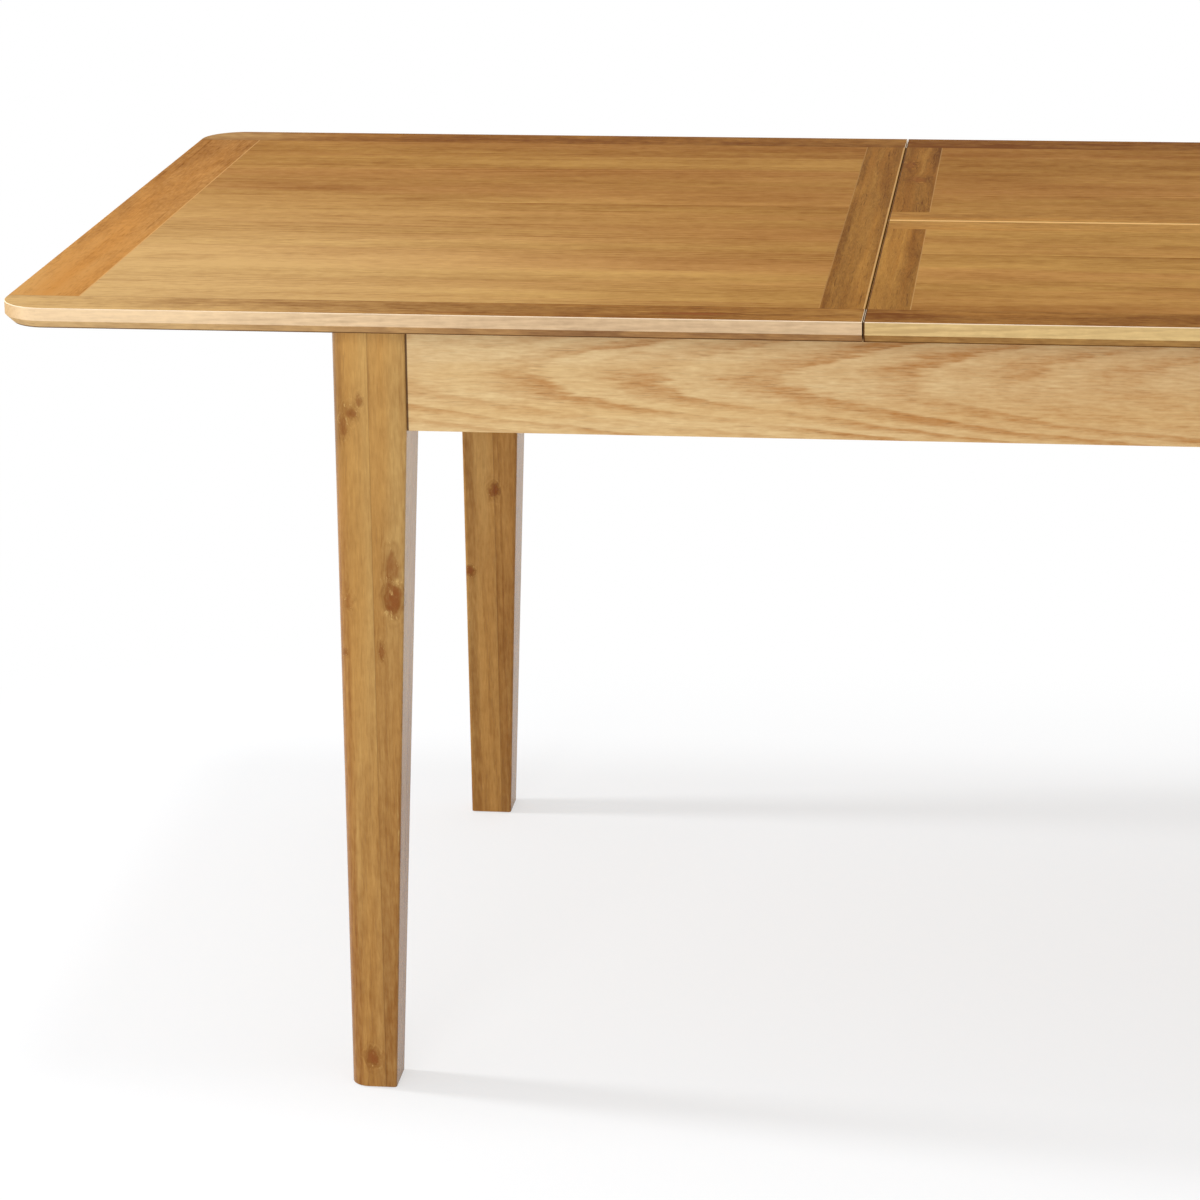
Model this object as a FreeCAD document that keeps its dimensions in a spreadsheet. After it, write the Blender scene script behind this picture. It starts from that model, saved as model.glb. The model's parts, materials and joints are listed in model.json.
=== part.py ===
"""Extending dining table: a fixed leg frame, two sliding top halves and a folding centre leaf.

The table stands on Z = 0 with its centre over the origin. X runs along the length, Y from front to
rear, Z up. Everything is in millimetres. The left and front pieces are described by their distance
from the middle planes, and the right and rear ones are their mirror images.
"""

import FreeCAD, Part
import Sketcher
import math
import os
import re

document = FreeCAD.newDocument("extending_table")
sizes = document.addObject("Spreadsheet::Sheet", "sizes")

# ---------------------------------------------------------------- driving dimensions
DRIVING = {
    # the top
    "table_height": 775,
    "top_width": 900,
    "top_thickness": 20,
    "half_length": 790,
    "leaf_length": 498,
    "joint_gap": 1,
    "fold_gap": 0.5,
    "corner_radius": 45,
    "edge_bevel": 8,
    "arris": 0.8,
    "side_lipping": 52,
    "end_strip": 68,
    "joint_strip": 42,
    "leaf_strip": 40,
    "hinge_lipping": 42,
    # the leg frame
    "end_overhang": 50,
    "side_overhang": 50,
    "top_clearance": 2,
    "leg_head": 70,
    "leg_foot": 45,
    "leg_corner_radius": 18,
    "leg_edge_radius": 3,
    "apron_height": 100,
    "apron_thickness": 22,
    "apron_setback": 3,
    "tenon_length": 20,
    "tenon_thickness": 10,
    "tenon_shoulder": 10,
    "block_seat": 12,
    "block_thickness": 30,
    "block_height": 40,
    "block_lift": 11,
    # metal fittings of the frame
    "bolt_radius": 4,
    "bolt_depth": 36,
    "bolt_end": 6,
    "washer_radius": 11,
    "washer_thickness": 2,
    "nut_radius": 7.5,
    "nut_height": 7,
    "glide_radius": 12.5,
    "glide_height": 5,
    "glide_stand": 1,
    # glide pads between frame and top
    "pad_length": 40,
    "pad_width": 14,
    "pad_gap": 0.3,
    "leaf_pad_place": 150,
    "half_pad_place": 500,
    "end_pad_place": 200,
    # slides
    "channel_drop": 9,
    "channel_height": 32,
    "channel_depth": 16,
    "channel_wall": 2,
    "channel_end_gap": 2,
    "channel_screw_place": 560,
    "channel_screw_length": 16,
    "slide_gap": 1,
    "batten_gap": 2,
    "batten_start": 12,
    "batten_end_gap": 8,
    "slide_travel": 30,
    "batten_thickness": 30,
    "screw_radius": 2,
    "screw_head": 4,
    "screw_head_height": 3,
    "screw_grip": 12,
    "screw_seat": 26,
    "screw_inset": 40,
    # storage rails of the folded leaf
    "rail_place": 200,
    "rail_width": 30,
    "rail_height": 40,
    "rail_drop": 3,
    "rail_housing": 6,
    # supports, catches and keepers under the joints
    "support_place": 60,
    "support_width": 40,
    "support_hold": 60,
    "support_reach": 22,
    "support_thickness": 3,
    "catch_place": 200,
    "catch_inset": 35,
    "catch_swing": 60,
    "catch_width": 16,
    "catch_thickness": 2,
    "catch_drop": 2,
    "catch_tip": 9,
    "catch_tab": 8,
    "pivot_radius": 3,
    "pivot_head": 6,
    "pin_radius": 2.5,
    "pin_grip": 10,
    "pin_stand": 2,
    # concealed hinges of the leaf
    "hinge_place": 165,
    "hinge_cup_radius": 7,
    "hinge_cup_depth": 18,
    "hinge_drop": 11,
    "hinge_rise": 0.3,
    "link_width": 4,
    "link_wall": 3,
    "link_reach": 6,
    # clearance between pieces that move on each other
    "fit_gap": 0.3,
}

for row, (alias, number) in enumerate(DRIVING.items(), start=1):
    sizes.set(f"A{row}", alias)
    sizes.set(f"B{row}", str(number))
    sizes.setAlias(f"B{row}", alias)
document.recompute()

# ---------------------------------------------------------------- derived places, as expressions
half_width = "(top_width / 2)"
half_inner = "(leaf_length / 2 + joint_gap)"
half_outer = f"({half_inner} + half_length)"
leaf_end = "(leaf_length / 2)"
leaf_inner = "(fold_gap / 2)"
underside = "(table_height - top_thickness)"
lipping_in = f"({half_width} - side_lipping)"
strip_far = f"({half_outer} - end_strip)"
strip_near = f"({half_inner} + joint_strip)"

frame_top = f"({underside} - top_clearance)"
apron_foot = f"({frame_top} - apron_height)"
leg_out_x = "(half_length - end_overhang)"
leg_out_y = f"({half_width} - side_overhang)"
leg_in_x = f"({leg_out_x} - leg_head)"
leg_in_y = f"({leg_out_y} - leg_head)"
apron_out_x = f"({leg_out_x} - apron_setback)"
apron_out_y = f"({leg_out_y} - apron_setback)"
apron_in_x = f"({apron_out_x} - apron_thickness)"
apron_in_y = f"({apron_out_y} - apron_thickness)"
apron_mid_x = f"({apron_out_x} - apron_thickness / 2)"
apron_mid_y = f"({apron_out_y} - apron_thickness / 2)"

# the corner block lies across the corner: on each long face X and Y add up to one distance
seat_sum = f"({leg_in_x} + {leg_in_y} + block_seat)"
block_sum = f"({seat_sum} - block_thickness * sqrt(2))"
block_foot = f"({apron_foot} + block_lift)"
bolt_level = f"({block_foot} + block_height / 2)"

channel_top = f"({frame_top} - channel_drop)"
channel_foot = f"({channel_top} - channel_height)"
channel_mid = f"({channel_top} - channel_height / 2)"
channel_in_y = f"({apron_in_y} - channel_depth)"
channel_end = f"({leg_in_x} - channel_end_gap)"
bar_foot = f"({channel_foot} + channel_wall + slide_gap)"
bar_top = f"({channel_top} - channel_wall - slide_gap)"
bar_out_y = f"({apron_in_y} - channel_wall - slide_gap)"
batten_out_y = f"({channel_in_y} - batten_gap)"
batten_in_y = f"({batten_out_y} - batten_thickness)"
batten_mid_y = f"({batten_out_y} - batten_thickness / 2)"
batten_near = f"({half_inner} + batten_start)"
batten_far = f"({leg_in_x} - slide_travel - batten_end_gap)"

rail_top = f"({channel_foot} - rail_drop)"
rail_foot = f"({rail_top} - rail_height)"

pivot_x = f"({half_inner} + catch_inset)"
keeper_x = f"({pivot_x} - catch_swing)"
catch_top = f"({underside} - catch_drop)"
catch_foot = f"({catch_top} - catch_thickness)"
pin_foot = f"({catch_foot} - pin_stand)"
pin_top = f"({underside} + pin_grip)"

fold_level = "(table_height + hinge_rise)"
cup_level = "(table_height - hinge_drop)"
link_outer = "(hinge_drop + hinge_rise + link_wall / 2)"
link_inner = "(hinge_drop + hinge_rise - link_wall / 2)"

LEFT_TO_RIGHT = FreeCAD.Vector(1, 0, 0)
FRONT_TO_REAR = FreeCAD.Vector(0, 1, 0)
UP = FreeCAD.Vector(0, 0, 1)
TURNS = {
    "x": FreeCAD.Rotation(UP, FreeCAD.Vector(1, 0, 0)),
    "y": FreeCAD.Rotation(UP, FreeCAD.Vector(0, 1, 0)),
    "z": FreeCAD.Rotation(),
    "diagonal": FreeCAD.Rotation(UP, FreeCAD.Vector(1, 1, 0)),
}
OVERSHOOT = "1"  # how far a cutting shape passes the face that it opens
CLOSE = 0.001  # two coordinates nearer than this are the same


# ---------------------------------------------------------------- expressions
def bound(text):
    """The expression with every driving dimension read from the sheet."""
    return re.sub(r"[a-z_]+", lambda word: f"sizes.{word[0]}" if word[0] in DRIVING else word[0], text)


def measure(text):
    """The number that an expression has now."""
    return float(sizes.evalExpression(bound(text)))


def span(near, far):
    """Low and high coordinate of what lies near to far on the left or front side."""
    return f"-({far})", f"-({near})"


def across(half):
    """Low and high coordinate of what is centred on a middle plane."""
    return f"-({half})", half


def around(middle, width):
    """Low and high coordinate of what is centred on middle."""
    return f"{middle} - ({width}) / 2", f"{middle} + ({width}) / 2"


# ---------------------------------------------------------------- primitives and booleans
def put(piece, x, y, z, turn="z"):
    piece.Placement = FreeCAD.Placement(FreeCAD.Vector(), TURNS[turn])
    for axis, text in zip("xyz", (x, y, z)):
        piece.setExpression(f"Placement.Base.{axis}", bound(text))
    return piece


def box(name, x, y, z):
    """A block; x, y and z each give its low and high coordinate."""
    block = document.addObject("Part::Box", name)
    for size, (low, high) in zip(("Length", "Width", "Height"), (x, y, z)):
        block.setExpression(size, bound(f"({high}) - ({low})"))
    return put(block, x[0], y[0], z[0])


def rod(name, radius, length, x, y, z, turn="z"):
    """A cylinder that starts at x, y, z and runs the way that turn names."""
    cylinder = document.addObject("Part::Cylinder", name)
    cylinder.setExpression("Radius", bound(radius))
    cylinder.setExpression("Height", bound(length))
    return put(cylinder, x, y, z, turn)


def ring(name, outer, inner, length, x, y, z, turn="z"):
    """A tube round the line that starts at x, y, z."""
    hole = rod(f"{name}_hole", inner, length, x, y, z, turn)
    return cut(name, rod(f"{name}_blank", outer, length, x, y, z, turn), hole)


def cut(name, base, tool):
    result = document.addObject("Part::Cut", name)
    result.Base = base
    result.Tool = tool
    return result


def common(name, base, tool):
    result = document.addObject("Part::Common", name)
    result.Base = base
    result.Tool = tool
    return result


def fuse(name, pieces):
    joined = document.addObject("Part::MultiFuse", name)
    joined.Shapes = pieces
    joined.Refine = True
    return joined


def gather(name, pieces):
    """Separate solids kept together."""
    collected = document.addObject("Part::Compound", name)
    collected.Links = pieces
    return collected


def mirror(name, source, normal):
    image = document.addObject("Part::Mirroring", name)
    image.Source = source
    image.Base = FreeCAD.Vector(0, 0, 0)
    image.Normal = normal
    return image


def both_sides(name, source, normal):
    return gather(name, [source, mirror(f"{name}_image", source, normal)])


def four_corners(name, source):
    """The front left piece and its three mirror images in one."""
    front = both_sides(f"{name}_front", source, LEFT_TO_RIGHT)
    return both_sides(name, front, FRONT_TO_REAR)


# ---------------------------------------------------------------- sketches and bodies
def new_body(name):
    return document.addObject("PartDesign::Body", name)


def body_sketch(body, name, level):
    """A sketch parallel to the body's own XY plane, lifted to a level."""
    sketch = body.newObject("Sketcher::SketchObject", name)
    plane = [feature for feature in body.Origin.OriginFeatures if feature.Role == "XY_Plane"][0]
    sketch.AttachmentSupport = [(plane, "")]
    sketch.MapMode = "FlatFace"
    sketch.setExpression("AttachmentOffset.Base.z", bound(level))
    return sketch


def tie(sketch, kind, geometry, text, label):
    """Fixes a line's start in X or Y, or an arc's radius, to an expression."""
    if kind == "Radius":
        constraint = Sketcher.Constraint("Radius", geometry, measure(text))
    else:
        constraint = Sketcher.Constraint(kind, -1, 1, geometry, 1, measure(text))
    number = sketch.addConstraint(constraint)
    sketch.renameConstraint(number, label)
    sketch.setExpression(f"Constraints.{label}", bound(text))


def draw_outline(sketch, corners):
    """A closed outline, each corner given as x, y and its radius, or None where it is sharp.

    The corners follow each other anticlockwise.
    """
    points = [FreeCAD.Vector(measure(x), measure(y), 0) for x, y, _ in corners]
    count = len(points)
    ways = [(points[(n + 1) % count] - points[n]).normalize() for n in range(count)]
    setbacks = []
    for n, (_, _, radius) in enumerate(corners):
        turn = ways[n - 1].getAngle(ways[n])
        setbacks.append(measure(radius) * math.tan(turn / 2) if radius else 0)
    for n in range(count):
        following = (n + 1) % count
        start = points[n] + ways[n] * setbacks[n]
        end = points[following] - ways[n] * setbacks[following]
        sketch.addGeometry(Part.LineSegment(start, end), False)
    for n, (_, _, radius) in enumerate(corners):
        if radius is None:
            sketch.addConstraint(Sketcher.Constraint("Coincident", (n - 1) % count, 2, n, 1))
            continue
        inward = FreeCAD.Vector(-ways[n].y, ways[n].x, 0)
        start = points[n] - ways[n - 1] * setbacks[n]
        end = points[n] + ways[n] * setbacks[n]
        centre = end + inward * measure(radius)
        middle = centre + (points[n] - centre).normalize() * measure(radius)
        arc = sketch.addGeometry(Part.Arc(start, middle, end), False)
        sketch.addConstraint(Sketcher.Constraint("Tangent", (n - 1) % count, 2, arc, 1))
        sketch.addConstraint(Sketcher.Constraint("Tangent", arc, 2, n, 1))
        tie(sketch, "Radius", arc, radius, f"radius{n}")


def draw_rectangle(sketch, x, y, radii):
    """A rectangle; radii start at the low X, low Y corner and go round anticlockwise."""
    places = [(x[0], y[0]), (x[1], y[0]), (x[1], y[1]), (x[0], y[1])]
    draw_outline(sketch, [(*place, radius) for place, radius in zip(places, radii)])
    sides = (("Horizontal", "DistanceY", y[0]), ("Vertical", "DistanceX", x[1]))
    sides += (("Horizontal", "DistanceY", y[1]), ("Vertical", "DistanceX", x[0]))
    for side, (direction, kind, text) in enumerate(sides):
        sketch.addConstraint(Sketcher.Constraint(direction, side))
        tie(sketch, kind, side, text, f"side{side}")


def draw_polygon(sketch, places):
    """A closed outline of straight lines with every corner placed by its own expressions."""
    draw_outline(sketch, [(x, y, None) for x, y in places])
    for line, (x, y) in enumerate(places):
        tie(sketch, "DistanceX", line, x, f"corner{line}_x")
        tie(sketch, "DistanceY", line, y, f"corner{line}_y")


def add_pad(body, name, sketch, length):
    pad = body.newObject("PartDesign::Pad", name)
    pad.Profile = sketch
    pad.setExpression("Length", bound(length))
    document.recompute()
    return pad


def add_pocket(body, name, sketch, length):
    """A pocket that goes down from its sketch, and has to take something away."""
    before = body.Shape.Volume
    pocket = body.newObject("PartDesign::Pocket", name)
    pocket.Profile = sketch
    pocket.setExpression("Length", bound(length))
    document.recompute()
    if body.Shape.Volume > before - CLOSE:
        raise RuntimeError(f"{name} cuts nothing")
    return pocket


def level_edges(feature, level, wanted):
    """Names of a feature's edges that lie at one level and that wanted accepts."""
    found = []
    for number, edge in enumerate(feature.Shape.Edges, start=1):
        limits = edge.BoundBox
        if abs(limits.ZMin - level) < CLOSE and abs(limits.ZMax - level) < CLOSE and wanted(limits):
            found.append(f"Edge{number}")
    return found


# ---------------------------------------------------------------- the nodes
nodes = {}


def node(name, piece):
    """Takes a finished piece into the assembly under its own name."""
    piece.Label = name
    nodes[name] = piece
    return piece


def place_quarters(name, source):
    """The front left piece and its three mirror images as four nodes."""
    node(f"{name}_front_left", source)
    right = node(f"{name}_front_right", mirror(f"{name}_front_right", source, LEFT_TO_RIGHT))
    node(f"{name}_rear_left", mirror(f"{name}_rear_left", source, FRONT_TO_REAR))
    node(f"{name}_rear_right", mirror(f"{name}_rear_right", right, FRONT_TO_REAR))


def place_both(source, name, other_name, normal):
    """A piece and its mirror image as two nodes."""
    node(name, source)
    node(other_name, mirror(other_name, source, normal))


# ---------------------------------------------------------------- the leg frame
def make_leg_body():
    """Front left leg: straight beside the aprons, its two inner faces tapered below them."""
    body = new_body("leg_body")
    radii = ["leg_corner_radius"] + ["leg_edge_radius"] * 3
    sections = []
    for name, level, side in (
        ("leg_foot_section", "glide_stand", "leg_foot"),
        ("leg_shoulder_section", apron_foot, "leg_head"),
        ("leg_head_section", frame_top, "leg_head"),
    ):
        sketch = body_sketch(body, name, level)
        x = span(f"{leg_out_x} - {side}", leg_out_x)
        y = span(f"{leg_out_y} - {side}", leg_out_y)
        draw_rectangle(sketch, x, y, radii)
        sections.append(sketch)
    document.recompute()
    shank = body.newObject("PartDesign::AdditiveLoft", "leg_shank")
    shank.Profile = sections[0]
    shank.Sections = sections[1:]
    shank.Ruled = True
    document.recompute()
    seat = body_sketch(body, "leg_seat_outline", frame_top)
    near_x = f"-{leg_in_x} + fit_gap"
    near_y = f"-{leg_in_y} + fit_gap"
    far_x = f"-({leg_in_x} + block_seat + fit_gap)"
    far_y = f"-({leg_in_y} + block_seat + fit_gap)"
    draw_polygon(seat, [(near_x, near_y), (far_x, near_y), (near_x, far_y)])
    add_pocket(body, "leg_seat", seat, "apron_height")
    return body


def make_corner_block():
    """A block across the corner between two aprons, with its outer face on the leg's seat."""
    body = new_body("corner_block_body")
    sketch = body_sketch(body, "corner_block_outline", block_foot)
    front = f"-{apron_in_y}"
    left = f"-{apron_in_x}"
    outline = [
        (f"-({seat_sum} - {apron_in_y})", front),
        (f"-({block_sum} - {apron_in_y})", front),
        (left, f"-({block_sum} - {apron_in_x})"),
        (left, f"-({seat_sum} - {apron_in_x})"),
    ]
    draw_polygon(sketch, outline)
    add_pad(body, "corner_block_pad", sketch, "block_height")
    return body


def bolt_point(distance):
    """A point on the front left bolt's line, at a distance from the leg's seat."""
    step = f"({distance}) / sqrt(2)"
    x = f"-({leg_in_x} + block_seat / 2) + {step}"
    y = f"-({leg_in_y} + block_seat / 2) + {step}"
    return x, y, bolt_level


def make_bolt():
    start = bolt_point("-bolt_depth")
    length = "bolt_depth + block_thickness + washer_thickness + nut_height + bolt_end"
    return rod("bolt", "bolt_radius", length, *start, turn="diagonal")


def make_nut(bolt):
    """Washer and hexagon nut on the inner face of the corner block."""
    at_washer = bolt_point("block_thickness")
    washer = rod("washer", "washer_radius", "washer_thickness", *at_washer, turn="diagonal")
    hexagon = document.addObject("Part::Prism", "nut_hexagon")
    hexagon.Polygon = 6
    hexagon.setExpression("Circumradius", bound("nut_radius"))
    hexagon.setExpression("Height", bound("nut_height"))
    put(hexagon, *bolt_point("block_thickness + washer_thickness"), turn="diagonal")
    return cut("nut", fuse("nut_and_washer", [washer, hexagon]), bolt)


def make_long_apron(screws):
    """Front apron with tenons at its ends, housings for the rails and holes for the screws."""
    y = span(apron_in_y, apron_out_y)
    board = box("long_board", across(leg_in_x), y, (apron_foot, frame_top))
    tenon_z = (f"{apron_foot} + tenon_shoulder", f"{frame_top} - tenon_shoulder")
    tenon_y = around(f"-{apron_mid_y}", "tenon_thickness")
    tenons = box("long_tenons", across(f"{leg_in_x} + tenon_length"), tenon_y, tenon_z)
    housing_x = around("-rail_place", "rail_width")
    housing_y = span(f"{apron_in_y} - {OVERSHOOT}", f"{apron_in_y} + rail_housing")
    housing = box("rail_housing", housing_x, housing_y, (rail_foot, rail_top))
    housings = both_sides("rail_housings", housing, LEFT_TO_RIGHT)
    blank = fuse("long_apron_blank", [board, tenons])
    return cut("apron_front", blank, gather("long_apron_cuts", [housings, screws]))


def make_end_apron():
    """Left apron with tenons at its ends."""
    x = span(apron_in_x, apron_out_x)
    board = box("end_board", x, across(leg_in_y), (apron_foot, frame_top))
    tenon_z = (f"{apron_foot} + tenon_shoulder", f"{frame_top} - tenon_shoulder")
    tenon_x = around(f"-{apron_mid_x}", "tenon_thickness")
    tenons = box("end_tenons", tenon_x, across(f"{leg_in_y} + tenon_length"), tenon_z)
    return fuse("apron_left", [board, tenons])


def make_channel_screw(name, x):
    """A countersunk screw through the channel's web into the front apron."""
    tip = f"-({apron_in_y} - channel_wall + channel_screw_length)"
    shank = rod(f"{name}_shank", "screw_radius", "channel_screw_length", x, tip, channel_mid, "y")
    head = document.addObject("Part::Cone", f"{name}_head")
    head.setExpression("Radius1", bound("screw_radius"))
    head.setExpression("Radius2", bound("screw_head"))
    head.setExpression("Height", bound("channel_wall"))
    put(head, x, f"-{apron_in_y}", channel_mid, "y")
    return fuse(name, [shank, head])


def make_channel(screws):
    """The front slide channel: a C section with its mouth towards the middle of the table."""
    y = span(channel_in_y, apron_in_y)
    blank = box("channel_blank", across(channel_end), y, (channel_foot, channel_top))
    groove_x = across(f"{channel_end} + {OVERSHOOT}")
    groove_y = span(f"{channel_in_y} - {OVERSHOOT}", f"{apron_in_y} - channel_wall")
    groove_z = (f"{channel_foot} + channel_wall", f"{channel_top} - channel_wall")
    groove = box("channel_groove", groove_x, groove_y, groove_z)
    return cut("channel_front", cut("channel_section", blank, groove), screws)


def make_pads():
    """Glide pads on the aprons, just under the top."""
    z = (frame_top, f"{underside} - pad_gap")
    long_y = around(f"-{apron_mid_y}", "pad_width")
    end_x = around(f"-{apron_mid_x}", "pad_width")
    quarter = [
        box("leaf_pad", around("-leaf_pad_place", "pad_length"), long_y, z),
        box("half_pad", around("-half_pad_place", "pad_length"), long_y, z),
        box("end_pad", end_x, around("-end_pad_place", "pad_length"), z),
    ]
    return four_corners("top_pads", gather("quarter_pads", quarter))


def make_frame():
    bolt = make_bolt()
    block = cut("corner_block", make_corner_block(), bolt)
    place_quarters("corner_block", block)

    middle_screw = make_channel_screw("middle_screw", "0")
    side_screw = make_channel_screw("side_screw", "-channel_screw_place")
    side_screws = both_sides("side_screws", side_screw, LEFT_TO_RIGHT)
    front_screws = gather("front_screws", [middle_screw, side_screws])
    node("channel_screws", both_sides("channel_screws", front_screws, FRONT_TO_REAR))

    long_apron = make_long_apron(front_screws)
    end_apron = make_end_apron()
    place_both(long_apron, "apron_front", "apron_rear", FRONT_TO_REAR)
    place_both(end_apron, "apron_left", "apron_right", LEFT_TO_RIGHT)
    channel = make_channel(front_screws)
    place_both(channel, "slide_channel_front", "slide_channel_rear", FRONT_TO_REAR)

    glide_x = f"-({leg_out_x} - leg_foot / 2)"
    glide_y = f"-({leg_out_y} - leg_foot / 2)"
    glide = rod("glide", "glide_radius", "glide_height", glide_x, glide_y, "0")
    leg_cuts = gather("leg_cuts", [bolt, glide, long_apron, end_apron])
    place_quarters("leg", cut("leg", make_leg_body(), leg_cuts))

    node("foot_glides", four_corners("foot_glides", glide))
    node("hanger_bolts", four_corners("hanger_bolts", bolt))
    node("hanger_nuts", four_corners("hanger_nuts", make_nut(bolt)))
    rail_y = across(f"{apron_in_y} + rail_housing")
    rail = box("rail", around("-rail_place", "rail_width"), rail_y, (rail_foot, rail_top))
    node("storage_rails", both_sides("storage_rails", rail, LEFT_TO_RIGHT))
    node("top_pads", make_pads())


# ---------------------------------------------------------------- the top halves
def finish_slab(body, pad, keeps_square):
    """Bevels the lower outer edges, all but those that stay square, and eases the upper ones."""
    bevel = body.newObject("PartDesign::Chamfer", f"{body.Name}_bevel")
    lower = level_edges(pad, measure(underside), lambda limits: not keeps_square(limits))
    bevel.Base = (pad, lower)
    bevel.setExpression("Size", bound("edge_bevel"))
    document.recompute()
    eased = body.newObject("PartDesign::Fillet", f"{body.Name}_arris")
    eased.Base = (bevel, level_edges(bevel, measure("table_height"), lambda limits: True))
    eased.setExpression("Radius", bound("arris"))
    document.recompute()


def make_half_slab():
    """The left half of the top: round at its two outer corners, square at the joint."""
    body = new_body("half_slab")
    sketch = body_sketch(body, "half_slab_outline", underside)
    radii = ["corner_radius", None, None, "corner_radius"]
    draw_rectangle(sketch, span(half_inner, half_outer), across(half_width), radii)
    pad = add_pad(body, "half_slab_pad", sketch, "top_thickness")
    joint = -measure(half_inner)
    finish_slab(body, pad, lambda limits: abs(limits.XMin - joint) < CLOSE)
    return body


def slab_piece(name, slab, x, y):
    """The part of a slab that lies in one rectangle of the plan."""
    z = (f"{underside} - {OVERSHOOT}", f"table_height + {OVERSHOOT}")
    return common(name, slab, box(f"{name}_bounds", x, y, z))


def make_batten_screw(name, x):
    """A screw from the front batten's counterbore up into the field."""
    head_foot = f"{underside} - screw_seat"
    y = f"-{batten_mid_y}"
    head = rod(f"{name}_head", "screw_head", "screw_head_height", x, y, head_foot)
    shank = rod(f"{name}_shank", "screw_radius", "screw_seat + screw_grip", x, y, head_foot)
    return fuse(name, [head, shank])


def make_pivot():
    """Shouldered pivot screw of the front left catch, with a collar that spaces it off the top."""
    foot = f"{catch_foot} - fit_gap - catch_thickness"
    line = (f"-{pivot_x}", "-catch_place")
    shank = rod("pivot_shank", "pivot_radius", f"{pin_top} - ({foot})", *line, foot)
    head = rod("pivot_head", "pivot_head", "catch_thickness", *line, foot)
    collar = rod("pivot_collar", "pivot_head", "catch_drop - fit_gap", *line, f"{catch_top} + fit_gap")
    return fuse("pivot", [shank, head, collar])


def make_support():
    """A plate under the front of the left joint strip, with a tongue under the leaf."""
    y = around("-support_place", "support_width")
    foot = f"{underside} - support_thickness"
    plate_x = span(half_inner, f"{half_inner} + support_hold")
    plate = box("support_plate", plate_x, y, (foot, underside))
    tongue_x = span(f"{half_inner} - support_reach", half_inner)
    tongue = box("support_tongue", tongue_x, y, (foot, f"{underside} - pad_gap"))
    return fuse("support", [plate, tongue])


def make_half():
    slab = make_half_slab()
    near_screw = make_batten_screw("near_screw", f"-({batten_near} + screw_inset)")
    far_screw = make_batten_screw("far_screw", f"-({batten_far} - screw_inset)")
    front_screws = gather("front_batten_screws", [near_screw, far_screw])
    batten_screws = both_sides("batten_screws", front_screws, FRONT_TO_REAR)
    pivots = both_sides("pivots", make_pivot(), FRONT_TO_REAR)

    outer_y = span(lipping_in, f"{half_width} + {OVERSHOOT}")
    whole_x = span(f"{half_inner} - {OVERSHOOT}", f"{half_outer} + {OVERSHOOT}")
    end_x = span(strip_far, f"{half_outer} + {OVERSHOOT}")
    joint_x = span(f"{half_inner} - {OVERSHOOT}", strip_near)
    inner_y = across(lipping_in)
    field = slab_piece("field_blank", slab, span(strip_near, strip_far), inner_y)
    joint_strip = slab_piece("joint_strip_blank", slab, joint_x, inner_y)
    lipping = slab_piece("half_lipping", slab, whole_x, outer_y)

    batten_x = span(batten_near, batten_far)
    batten_y = span(batten_in_y, batten_out_y)
    batten_blank = box("batten_blank", batten_x, batten_y, (bar_foot, underside))
    bores = []
    for screw_x in (f"-({batten_near} + screw_inset)", f"-({batten_far} - screw_inset)"):
        start = f"{bar_foot} - {OVERSHOOT}"
        depth = f"{underside} - screw_seat - ({start})"
        bores.append(rod("counterbore", "screw_head", depth, screw_x, f"-{batten_mid_y}", start))
    batten = cut("batten", batten_blank, gather("batten_cuts", bores + [front_screws]))
    bar = box("bar", batten_x, span(batten_out_y, bar_out_y), (bar_foot, bar_top))

    left = {
        "top_field": cut("half_field", field, batten_screws),
        "lipping_front": lipping,
        "lipping_rear": mirror("half_lipping_rear", lipping, FRONT_TO_REAR),
        "end_strip": slab_piece("half_end_strip", slab, end_x, inner_y),
        "joint_strip": cut("half_joint_strip", joint_strip, pivots),
        "batten_front": batten,
        "batten_rear": mirror("batten_rear", batten, FRONT_TO_REAR),
        "slide_bars": both_sides("slide_bars", bar, FRONT_TO_REAR),
        "leaf_supports": both_sides("leaf_supports", make_support(), FRONT_TO_REAR),
        "batten_screws": batten_screws,
        "catch_pivots": pivots,
    }
    for name, piece in left.items():
        place_both(piece, f"left_{name}", f"right_{name}", LEFT_TO_RIGHT)


# ---------------------------------------------------------------- catches
def make_catch():
    """Front left catch: a flat lever on a pivot with a slot that swings onto the leaf's keeper."""
    z = (catch_foot, catch_top)
    x = around(f"-{pivot_x}", "catch_width")
    tip = "-catch_place + catch_swing + catch_tip"
    lever = box("catch_lever", x, ("-catch_place - catch_width / 2", tip), z)
    tab_y = (f"{tip} - catch_thickness", tip)
    tab = box("catch_tab_blank", x, tab_y, (f"{catch_foot} - catch_tab", catch_foot))
    low = f"{catch_foot} - {OVERSHOOT}"
    length = f"catch_thickness + 2 * {OVERSHOOT}"
    line = (f"-{pivot_x}", "-catch_place", low)
    hole = rod("catch_hole", "pivot_radius + fit_gap", length, *line)
    reach = "pin_radius + fit_gap"
    track = ring("catch_track", f"catch_swing + {reach}", f"catch_swing - ({reach})", length, *line)
    mouth_x = (f"-{pivot_x} - ({reach})", f"-{pivot_x} + catch_width")
    mouth = box("catch_mouth", mouth_x, ("-catch_place", tip), (low, f"{catch_top} + {OVERSHOOT}"))
    slot = common("catch_slot", track, mouth)
    return cut("catch", fuse("catch_blank", [lever, tab]), gather("catch_cuts", [hole, slot]))


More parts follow.
